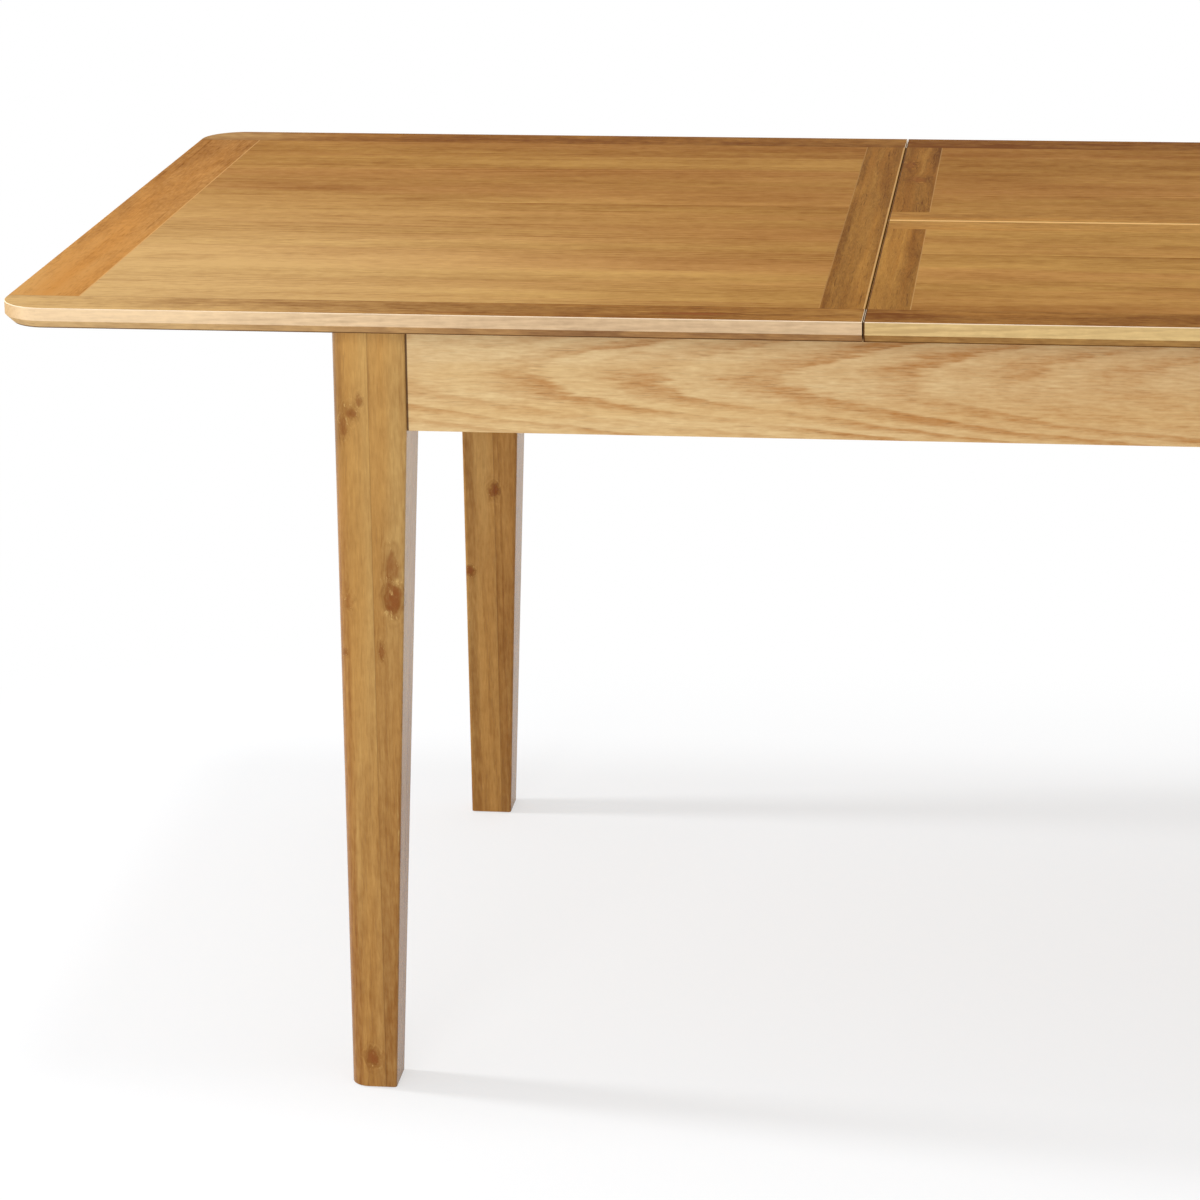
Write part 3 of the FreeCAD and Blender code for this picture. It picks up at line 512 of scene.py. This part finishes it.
def beech(name, axes, seed):
    """Planed beech: even, with short darker flecks along the grain."""

    def build(graph, sockets):
        row = dict(zip("xyz", graph.separate(graph.coordinate("Object"))))
        ordered = graph.combine(*(row[axis] for axis in axes))
        place = graph.vector("ADD", ordered, (seed, seed, seed))
        broad = graph.noise(place, (1.5, 24.0, 24.0), 3.0)
        flecks = graph.between(graph.noise(place, (110.0, 620.0, 620.0), 1.0), 0.55, 0.7)
        colour = graph.mix(broad, BEECH_LIGHT, BEECH_DARK)
        colour = graph.mix(graph.math("MULTIPLY", flecks, 0.35), colour, BEECH_FLECK)
        graph.feed(sockets["Base Color"], colour)
        graph.feed(sockets["Roughness"], graph.math("MULTIPLY_ADD", flecks, -0.1, 0.62))
        graph.feed(sockets["Normal"], graph.bump(broad, 0.2, 0.0002))

    return finish_material(name, build, Specular_IOR_Level=0.3)


def metal(name, colour, stretch, roughness):
    """Metal with the fine lines of its drawing or plating, and a slight stain."""

    def build(graph, sockets):
        place = graph.coordinate("Object")
        lines = graph.noise(place, stretch, 3.0, 0.6)
        stain = graph.math("MULTIPLY", graph.noise(place, (60.0, 60.0, 60.0), 2.0), 0.3)
        graph.feed(sockets["Base Color"], graph.mix(stain, colour, METAL_STAIN, "MULTIPLY"))
        graph.feed(sockets["Roughness"], graph.math("MULTIPLY_ADD", lines, 0.22, roughness - 0.11))
        graph.feed(sockets["Normal"], graph.bump(lines, 0.3, 0.00005))

    return finish_material(name, build, Metallic=1.0)


def nylon(name):
    """Dark moulded nylon with a faint spark-eroded texture."""

    def build(graph, sockets):
        place = graph.coordinate("Object")
        grit = graph.noise(place, (900.0, 900.0, 900.0), 2.0)
        wear = graph.noise(place, (40.0, 90.0, 90.0), 2.0)
        graph.feed(sockets["Base Color"], graph.mix(wear, NYLON_DARK, NYLON_LIGHT))
        graph.feed(sockets["Roughness"], graph.math("MULTIPLY_ADD", wear, 0.2, 0.45))
        graph.feed(sockets["Normal"], graph.bump(grit, 0.3, 0.00008))

    return finish_material(name, build)


# ---------------------------------------------------------------- dressing the frame's nodes
SEED_COUNT, SEED_GAP = 97, 0.37  # how many seeds there are, and the step from one to the next


def dress(node, material):
    slots = frame["nodes"][node].data.materials
    slots.clear()
    slots.append(material)


def seed_of(node):
    """A seed out of the piece's name: boards of one kind get different ones, and so their own figure."""
    total = sum(ord(letter) * place for place, letter in enumerate(node, start=1))
    return total % SEED_COUNT * SEED_GAP


def dress_oak(node, axes, pith, colours, **options):
    dress(node, oak(node, axes, pith, colours, seed_of(node), **options))


# painted shade beside the gaps at the leaf's two ends
LEAF_GAP_SHADE = tuple(("x", sign * LEAF_HIGH.x, 0.0014, 0.95, "not_ends") for sign in (-1, 1))
BEVEL_FOOT_SHADE = ("z", UNDER_FACE, 0.0012, 0.8, "bevel")  # painted shade at the foot of the bevel
REAR_SHADE = ("y", -0.42, 0.3, 0.24)  # painted shade: the top grows darker towards the rear, where less light falls

FIELD_GRAIN = {
    "taper": 0.02,
    "rings": 0.4,
    "streaks": 0.8,
    "fibres": 0.65,
    "mottle": 0.8,
    "wave": 0.012,
    "drifts": (REAR_SHADE,),
}
# how much darker than the rest each stave of a field is, from the front, and where they meet
HALF_STAVES = (
    (0.11, 0.08, 0.13, 0.04, -0.04, -0.04, 0.04),
    (-0.31, -0.1665, -0.05, 0.06, 0.1675, 0.3214),
)
LEAF_STAVES = {
    "front": ((0.2, 0.09, -0.1), (-0.29, -0.16)),
    "rear": ((-0.09, -0.03, 0.02, 0.14), (0.13, 0.25, 0.34)),
}
HALF_PITH, LEAF_PITH = 0.11, 0.1  # depth of the pith below the top's face
LIT_PART = {"place": (1.0, -0.4), "reach": 0.8, "amount": 0.42}  # a painted pool of light, partly paler wood, at a half field's front outer corner; x is outward


def dress_field(name, staves, pith_depth, **options):
    low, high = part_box(name)
    tones, meetings = staves
    borders = (low.y, *meetings, high.y)
    pith = (0.0, TOP_FACE - pith_depth)
    dress_oak(name, "xyz", pith, FIELD, staves=(borders, tones), **FIELD_GRAIN, **options)


LIPPING_LIT_ENDS = {"front": (0.68, 0.5), "rear": (0.2, 0.02)}  # a painted pool of light, partly paler wood, at their outer ends: how far it reaches and by how much
# streaks in the lippings are knots drawn out along the grain
LIPPING_STREAKS = {
    "left_lipping_front": (
        ((-0.40, -0.4285, TOP_FACE), (0.055, 0.006, 0.008), 0.9),
        ((-0.62, -0.4380, TOP_FACE), (0.035, 0.004, 0.008), 0.5),
    ),
    "right_lipping_rear": (((0.55, 0.4290, TOP_FACE), (0.050, 0.006, 0.008), 0.8),),
}


def dress_half_lipping(side, depth):
    name = f"{side}_lipping_{depth}"
    low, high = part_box(name)
    inner, outer = inner_and_outer(low.y, high.y, depth)
    corner = (OUTWARD[side] * TABLE_HIGH.x, outer, TOP_FACE)
    options = {"rings": 0.6, "tone": 0.25, "pale_edge": 0.85}
    options["pale_spot"] = (corner, *LIPPING_LIT_ENDS[depth])
    # painted shade at the bevel's foot, and a dark joint line towards the field
    options["dark_lines"] = (BEVEL_FOOT_SHADE, ("y", inner, 0.0012, 0.3, "not_ends"))
    options["knots"] = LIPPING_STREAKS.get(name, ())
    dress_oak(name, "xyz", (low.y - 0.05, TOP_FACE - 0.07), LIPPING, **options)


def dress_end_strip(side):
    name = f"{side}_end_strip"
    low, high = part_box(name)
    inner, _ = inner_and_outer(low.x, high.x, side)
    options = {"rings": 0.3, "tone": -0.3, "pale_edge": 0.8, "dark_lines": (BEVEL_FOOT_SHADE,)}
    # a pale line along the inner joint: partly a glue line, partly a painted highlight
    options["pale_lines"] = (("x", inner, 0.0013, 0.4, "upper"),)
    # painted shade: darker towards the rear, as on the fields
    options["drifts"] = (("y", -0.4, 0.35, 0.62),)
    dress_oak(name, "yxz", ((low.x + high.x) / 2, TOP_FACE - 0.12), END_STRIP, **options)


# the strips across the grain of the fields, whose own figure is finer and wavier
STRIP_GRAIN = {"taper": 0.01, "rings": 0.1, "fine": 3.8, "wave": 0.06, "threads": 1.8}
STRIP_KNOTS = {
    "leaf_rear_strip_left": (
        ((-0.228, 0.215, TOP_FACE), (0.013, 0.022, 0.010), 0.55),
        ((-0.240, 0.290, TOP_FACE), (0.008, 0.030, 0.010), 0.35),
    )
}


def dress_joint_strip(side):
    name = f"{side}_joint_strip"
    low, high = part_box(name)
    joint, seam = inner_and_outer(low.x, high.x, side)
    options = {**STRIP_GRAIN, "tone": 0.15, "bands": (("x", seam, 0.007, 0.15, None),)}
    # painted highlights along the arrises at the joint and, fainter, at the seam
    options["pale_lines"] = (("x", joint, 0.0018, 0.55, "upper"), ("x", seam, 0.001, 0.2, "upper"))
    dress_oak(name, "yxz", (seam + OUTWARD[side] * 0.06, TOP_FACE - 0.05), CROSS, **options)


def dress_half(side):
    x, y = LIT_PART["place"]
    place = (OUTWARD[side] * x, y, TOP_FACE)
    spot = (place, LIT_PART["reach"], LIT_PART["amount"])
    dress_field(f"{side}_top_field", HALF_STAVES, HALF_PITH, pale_spot=spot)
    for depth in ("front", "rear"):
        dress_half_lipping(side, depth)
    dress_end_strip(side)
    dress_joint_strip(side)


LEAF_LIPPING_TONE = 0.36
HINGE_LIPPING_TONES = {"front": -0.1, "rear": -0.12}
LEAF_STRIP_TONES = {"front": 0.08, "rear": 0.22}


def dress_leaf_lipping(name, **options):
    low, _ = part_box(name)
    dress_oak(name, "xyz", (low.y - 0.07, TOP_FACE - 0.08), LIPPING, rings=0.6, **options)


def dress_leaf_strip(depth, side):
    name = f"leaf_{depth}_strip_{side}"
    low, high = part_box(name)
    inner, _ = inner_and_outer(low.x, high.x, side)
    options = {**STRIP_GRAIN, "tone": LEAF_STRIP_TONES[depth], "dark_lines": LEAF_GAP_SHADE}
    # a pale line along the inner joint: partly a glue line, partly a painted highlight
    options["pale_lines"] = (("x", inner, 0.001, 0.3, "upper"),)
    options["knots"] = STRIP_KNOTS.get(name, ())
    dress_oak(name, "yxz", (low.x - 0.05, TOP_FACE - 0.06), CROSS, **options)


def dress_leaf(depth):
    dress_field(f"leaf_{depth}_field", LEAF_STAVES[depth], LEAF_PITH)
    edge = {"pale_edge": 0.9, "edge_colour": LEAF_LIT_EDGE, "dark_lines": (*LEAF_GAP_SHADE, BEVEL_FOOT_SHADE)}
    dress_leaf_lipping(f"leaf_{depth}_lipping", tone=LEAF_LIPPING_TONE, **edge)
    name = f"leaf_{depth}_hinge_lipping"
    low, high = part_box(name)
    fold, _ = inner_and_outer(low.y, high.y, depth)
    # a painted highlight along the arris at the fold
    lines = {"pale_lines": (("y", fold, 0.0028, 0.85, "upper"),), "dark_lines": LEAF_GAP_SHADE}
    dress_leaf_lipping(name, tone=HINGE_LIPPING_TONES[depth], **lines)
    for side in ("left", "right"):
        dress_leaf_strip(depth, side)


APRON_GRAIN = {
    "taper": 0.038,
    "rings": 0.85,
    "streaks": 0.3,
    "feather": 0.6,
    "wander": 0.35,
    "threads": 0.5,
    "mottle": 0.4,
    "gloss": 0.1,
}
APRON_HEART = 0.58  # height of the pith, as a share of the apron's
FRONT_APRON = {"tone": -0.08, "drifts": (("x", LEG_HIGH.x, 0.1, 0.18),)}


def dress_apron(side):
    name = f"apron_{side}"
    along, inward = "yx" if side in ("left", "right") else "xy"
    length, depth = "xyz".index(along), "xyz".index(inward)
    low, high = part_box(name)
    _, face = inner_and_outer(low[depth], high[depth], side)
    heart = APRON_LOW.z + APRON_HEART * (APRON_HIGH.z - APRON_LOW.z)
    options = dict(APRON_GRAIN)
    if side == "front":
        options.update(FRONT_APRON)
    ends = (-LEG_HIGH[length], LEG_HIGH[length])
    # painted shade in the joints where the apron meets the legs
    options["dark_lines"] = tuple((along, end, 0.0018, 0.9, None) for end in ends)
    pith = (heart, face - OUTWARD[side] * 0.12)
    dress_oak(name, f"{along}z{inward}", pith, APRON, **options)


# knots of each leg: the centre, the half widths and the strength
KNOTS = {
    "leg_front_left": (
        ((-0.7290, LEG_FRONT, 0.655), (0.0050, 0.012, 0.011), 0.55),
        ((-0.7215, LEG_FRONT, 0.669), (0.0070, 0.012, 0.009), 0.75),
        ((-0.7140, LEG_FRONT, 0.681), (0.0045, 0.010, 0.007), 0.60),
        ((-0.6870, LEG_FRONT, 0.522), (0.0070, 0.014, 0.022), 0.60),
        ((-0.6865, LEG_FRONT, 0.492), (0.0095, 0.016, 0.017), 1.00),
        ((-0.7290, LEG_FRONT, 0.489), (0.0060, 0.010, 0.008), 0.35),
        ((-0.6990, LEG_FRONT, 0.441), (0.0030, 0.010, 0.010), 0.65),
        ((-0.7360, LEG_FRONT, 0.437), (0.0040, 0.008, 0.004), 0.90),
        ((-0.6830, LEG_FRONT, 0.250), (0.0040, 0.010, 0.050), 0.60),
        ((-0.7170, LEG_FRONT, 0.030), (0.0070, 0.012, 0.009), 1.00),
        ((-0.7080, LEG_FRONT + 0.057, 0.350), (0.0080, 0.010, 0.012), 0.80),
    ),
    "leg_rear_left": (
        ((-0.7347, LEG_REAR - 0.055, 0.294), (0.0050, 0.012, 0.006), 1.00),
        ((-0.7058, LEG_REAR - 0.060, 0.389), (0.0070, 0.012, 0.010), 1.00),
        ((-0.7040, LEG_REAR, 0.560), (0.0090, 0.014, 0.013), 0.90),
        ((-0.7240, LEG_REAR, 0.300), (0.0060, 0.012, 0.020), 0.60),
    ),
    "leg_front_right": (
        ((0.7170, LEG_FRONT, 0.552), (0.0090, 0.014, 0.014), 0.90),
        ((0.6940, LEG_FRONT, 0.214), (0.0060, 0.012, 0.024), 0.60),
    ),
    "leg_rear_right": (
        ((0.7080, LEG_REAR, 0.610), (0.0080, 0.014, 0.014), 0.80),
        ((0.7270, LEG_REAR, 0.155), (0.0060, 0.012, 0.012), 1.00),
    ),
}
LEG_GRAIN = {
    "taper": 0.012,
    "rings": 0.3,
    "streaks": 0.55,
    "threads": 0.25,
    "mottle": 0.6,
    "fibres": 0.7,
    "gloss": 0.16,
    "rough": 0.2,
}
LEG_TONE = -0.06  # where the upper part ends and the top begins
# the legs are painted paler upwards, painted light against the shade under the top: this much over their
# lower, middle and top parts
LEG_LIGHT_RISE = {"front": (0.19, 0.15, 0.17), "rear": (0.14, 0.12, 0.1)}


def dress_leg(name, knots):
    _, depth, side = name.split("_")
    low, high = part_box(name)
    middle = (low + high) / 2
    _, outer = inner_and_outer(low.x, high.x, side)
    lower, upper, top = LEG_LIGHT_RISE[depth]
    options = {**LEG_GRAIN, "knots": knots, "glue_line": middle.x}
    options["tone"] = lower + upper + LEG_TONE
    options["drifts"] = (("z", 0.1, 0.5, -lower), ("z", 0.45, 0.66, -upper), ("z", 0.68, 0.73, -top))
    # a darker band down the rounded outer corner: painted shade, where less light falls
    options["bands"] = (("x", outer, 0.012, 0.24, None),)
    options["dark_lines"] = (("x", middle.x, 0.0006, 0.2, None),)
    dress_oak(name, "zxy", (middle.x - 0.05, middle.y + 0.09), LEG, **options)


def dress_fittings():
    """Gives the pieces that aren't oak what their slots in the frame's record ask for."""
    plain = {
        "steel": metal("zinc_steel", ZINC, (400.0, 400.0, 400.0), 0.34),
        "aluminium": metal("drawn_aluminium", ALUMINIUM, (6.0, 700.0, 700.0), 0.36),
        "brass": metal("satin_brass", BRASS, (500.0, 500.0, 500.0), 0.3),
        "nylon": nylon("dark_nylon"),
    }
    lengthwise, crosswise = beech("beech_x", "xyz", 2.0), beech("beech_y", "yxz", 4.0)
    for part in frame["record"]["subparts"]:
        name, slot = part["node"], part["material_slot"]
        if slot in plain:
            dress(name, plain[slot])
        elif slot == "beech":
            dress(name, crosswise if name == "storage_rails" else lengthwise)


for half in ("left", "right"):
    dress_half(half)
for leaf in ("front", "rear"):
    dress_leaf(leaf)
for apron in ("front", "rear", "left", "right"):
    dress_apron(apron)
for leg, its_knots in KNOTS.items():
    dress_leg(leg, its_knots)
dress_fittings()

# ---------------------------------------------------------------- floor, world and lamps
AMBIENT = 0.58
FLOOR_COLOUR = (0.925, 0.955, 0.988, 1.0)
FLOOR_REACH = 30.0  # half the floor's width
FLOOR_FADE = 1.4, 3.6  # distances from the middle at which the floor starts to vanish and is gone
FLOOR_GLOW = 0.59  # share of the floor under the table that shows as plain white: its shadow is pale
GLOW_GROWTH = 0.5  # distance from the table's outline at which that share is whole
# place, target, diameter and watts
LAMPS = {
    "overhead": ((-0.4, -0.6, 8.0), (0.0, 0.0, 0.0), 1.6, 120.0),
    "front": ((-1.2, -4.6, 1.9), (0.0, 0.0, 0.5), 2.4, 66.0),
    "side": ((-4.0, 0.1, 2.2), (-0.6, 0.0, 0.0), 0.6, 84.0),
}


def seen_directly(graph):
    """1 for what the camera, a mirror or clear glass shows, and 0 for what lights a surface."""
    rays = graph.add("ShaderNodeLightPath").outputs
    seen = graph.math("MAXIMUM", rays["Is Camera Ray"], rays["Is Glossy Ray"])
    return graph.math("MAXIMUM", seen, rays["Is Transmission Ray"])


def floor_material():
    """White that keeps the table's shadow, turns to plain white beyond it and vanishes far away."""
    material = bpy.data.materials.new("floor_white")
    material.use_nodes = True
    material.node_tree.nodes.clear()
    graph = Graph(material.node_tree)
    place = graph.coordinate("Object")
    away = graph.measure("LENGTH", place)
    outline = (TABLE_HIGH.x, TABLE_HIGH.y, 0.0)
    beyond = graph.vector("SUBTRACT", graph.vector("ABSOLUTE", place), outline)
    beyond = graph.measure("LENGTH", graph.vector("MAXIMUM", beyond, (0.0, 0.0, 0.0)))
    whitened = graph.between(beyond, 0.0, GLOW_GROWTH, FLOOR_GLOW, 1.0)
    share = graph.math("MULTIPLY", seen_directly(graph), whitened)
    painted = graph.add("ShaderNodeBsdfDiffuse", {"Color": FLOOR_COLOUR}).outputs[0]
    glow = graph.add("ShaderNodeEmission", {"Color": WHITE, "Strength": 1.0}).outputs[0]
    painted = graph.add("ShaderNodeMixShader", {0: share, 1: painted, 2: glow}).outputs[0]
    clear = graph.add("ShaderNodeBsdfTransparent").outputs[0]
    gone = graph.between(away, *FLOOR_FADE)
    faded = graph.add("ShaderNodeMixShader", {0: gone, 1: painted, 2: clear}).outputs[0]
    graph.add("ShaderNodeOutputMaterial", {"Surface": faded})
    return material


def make_floor():
    mesh = bpy.data.meshes.new("floor")
    signs = ((-1, -1), (1, -1), (1, 1), (-1, 1))
    corners = [(FLOOR_REACH * x, FLOOR_REACH * y, 0.0) for x, y in signs]
    mesh.from_pydata(corners, [], [(0, 1, 2, 3)])
    floor = bpy.data.objects.new("floor", mesh)
    bpy.context.scene.collection.objects.link(floor)
    mesh.materials.append(floor_material())


def make_world():
    world = bpy.data.worlds.new("surroundings")
    bpy.context.scene.world = world
    world.use_nodes = True
    world.node_tree.nodes.clear()
    graph = Graph(world.node_tree)
    lighting = graph.add("ShaderNodeBackground", {"Color": WHITE, "Strength": AMBIENT}).outputs[0]
    backdrop = graph.add("ShaderNodeBackground", {"Color": WHITE, "Strength": 1.0}).outputs[0]
    shares = {0: seen_directly(graph), 1: lighting, 2: backdrop}
    chosen = graph.add("ShaderNodeMixShader", shares).outputs[0]
    graph.add("ShaderNodeOutputWorld", {"Surface": chosen})


def make_lamp(name, place, target, diameter, watts):
    data = bpy.data.lights.new(name, "AREA")
    data.shape = "DISK"
    data.size = diameter
    data.energy = watts
    lamp = bpy.data.objects.new(name, data)
    lamp.location = place
    lamp.rotation_euler = (Vector(target) - Vector(place)).to_track_quat("-Z", "Y").to_euler()
    bpy.context.scene.collection.objects.link(lamp)


make_floor()
make_world()
for lamp_name, values in LAMPS.items():
    make_lamp(lamp_name, *values)

# ---------------------------------------------------------------- camera
CAMERA_PLACE = (-0.070, -3.728, 1.539)
CAMERA_YAW, CAMERA_PITCH, CAMERA_ROLL = -7.2, -14.2, -0.66  # degrees
CAMERA_LENS, SENSOR_WIDTH = 114.1, 36.0  # millimetres
CAMERA_SHIFT = (0.0, -0.17)


def make_camera():
    data = bpy.data.cameras.new("camera")
    data.lens = CAMERA_LENS
    data.sensor_width = SENSOR_WIDTH
    data.shift_x, data.shift_y = CAMERA_SHIFT
    camera = bpy.data.objects.new("camera", data)
    camera.location = CAMERA_PLACE
    aim = Euler((math.radians(90 + CAMERA_PITCH), 0.0, -math.radians(CAMERA_YAW)), "XYZ")
    roll = Euler((0.0, 0.0, math.radians(CAMERA_ROLL)), "XYZ")
    camera.rotation_euler = (aim.to_matrix() @ roll.to_matrix()).to_euler()
    bpy.context.scene.collection.objects.link(camera)
    bpy.context.scene.camera = camera


make_camera()
bpy.context.scene.view_settings.view_transform = "Standard"
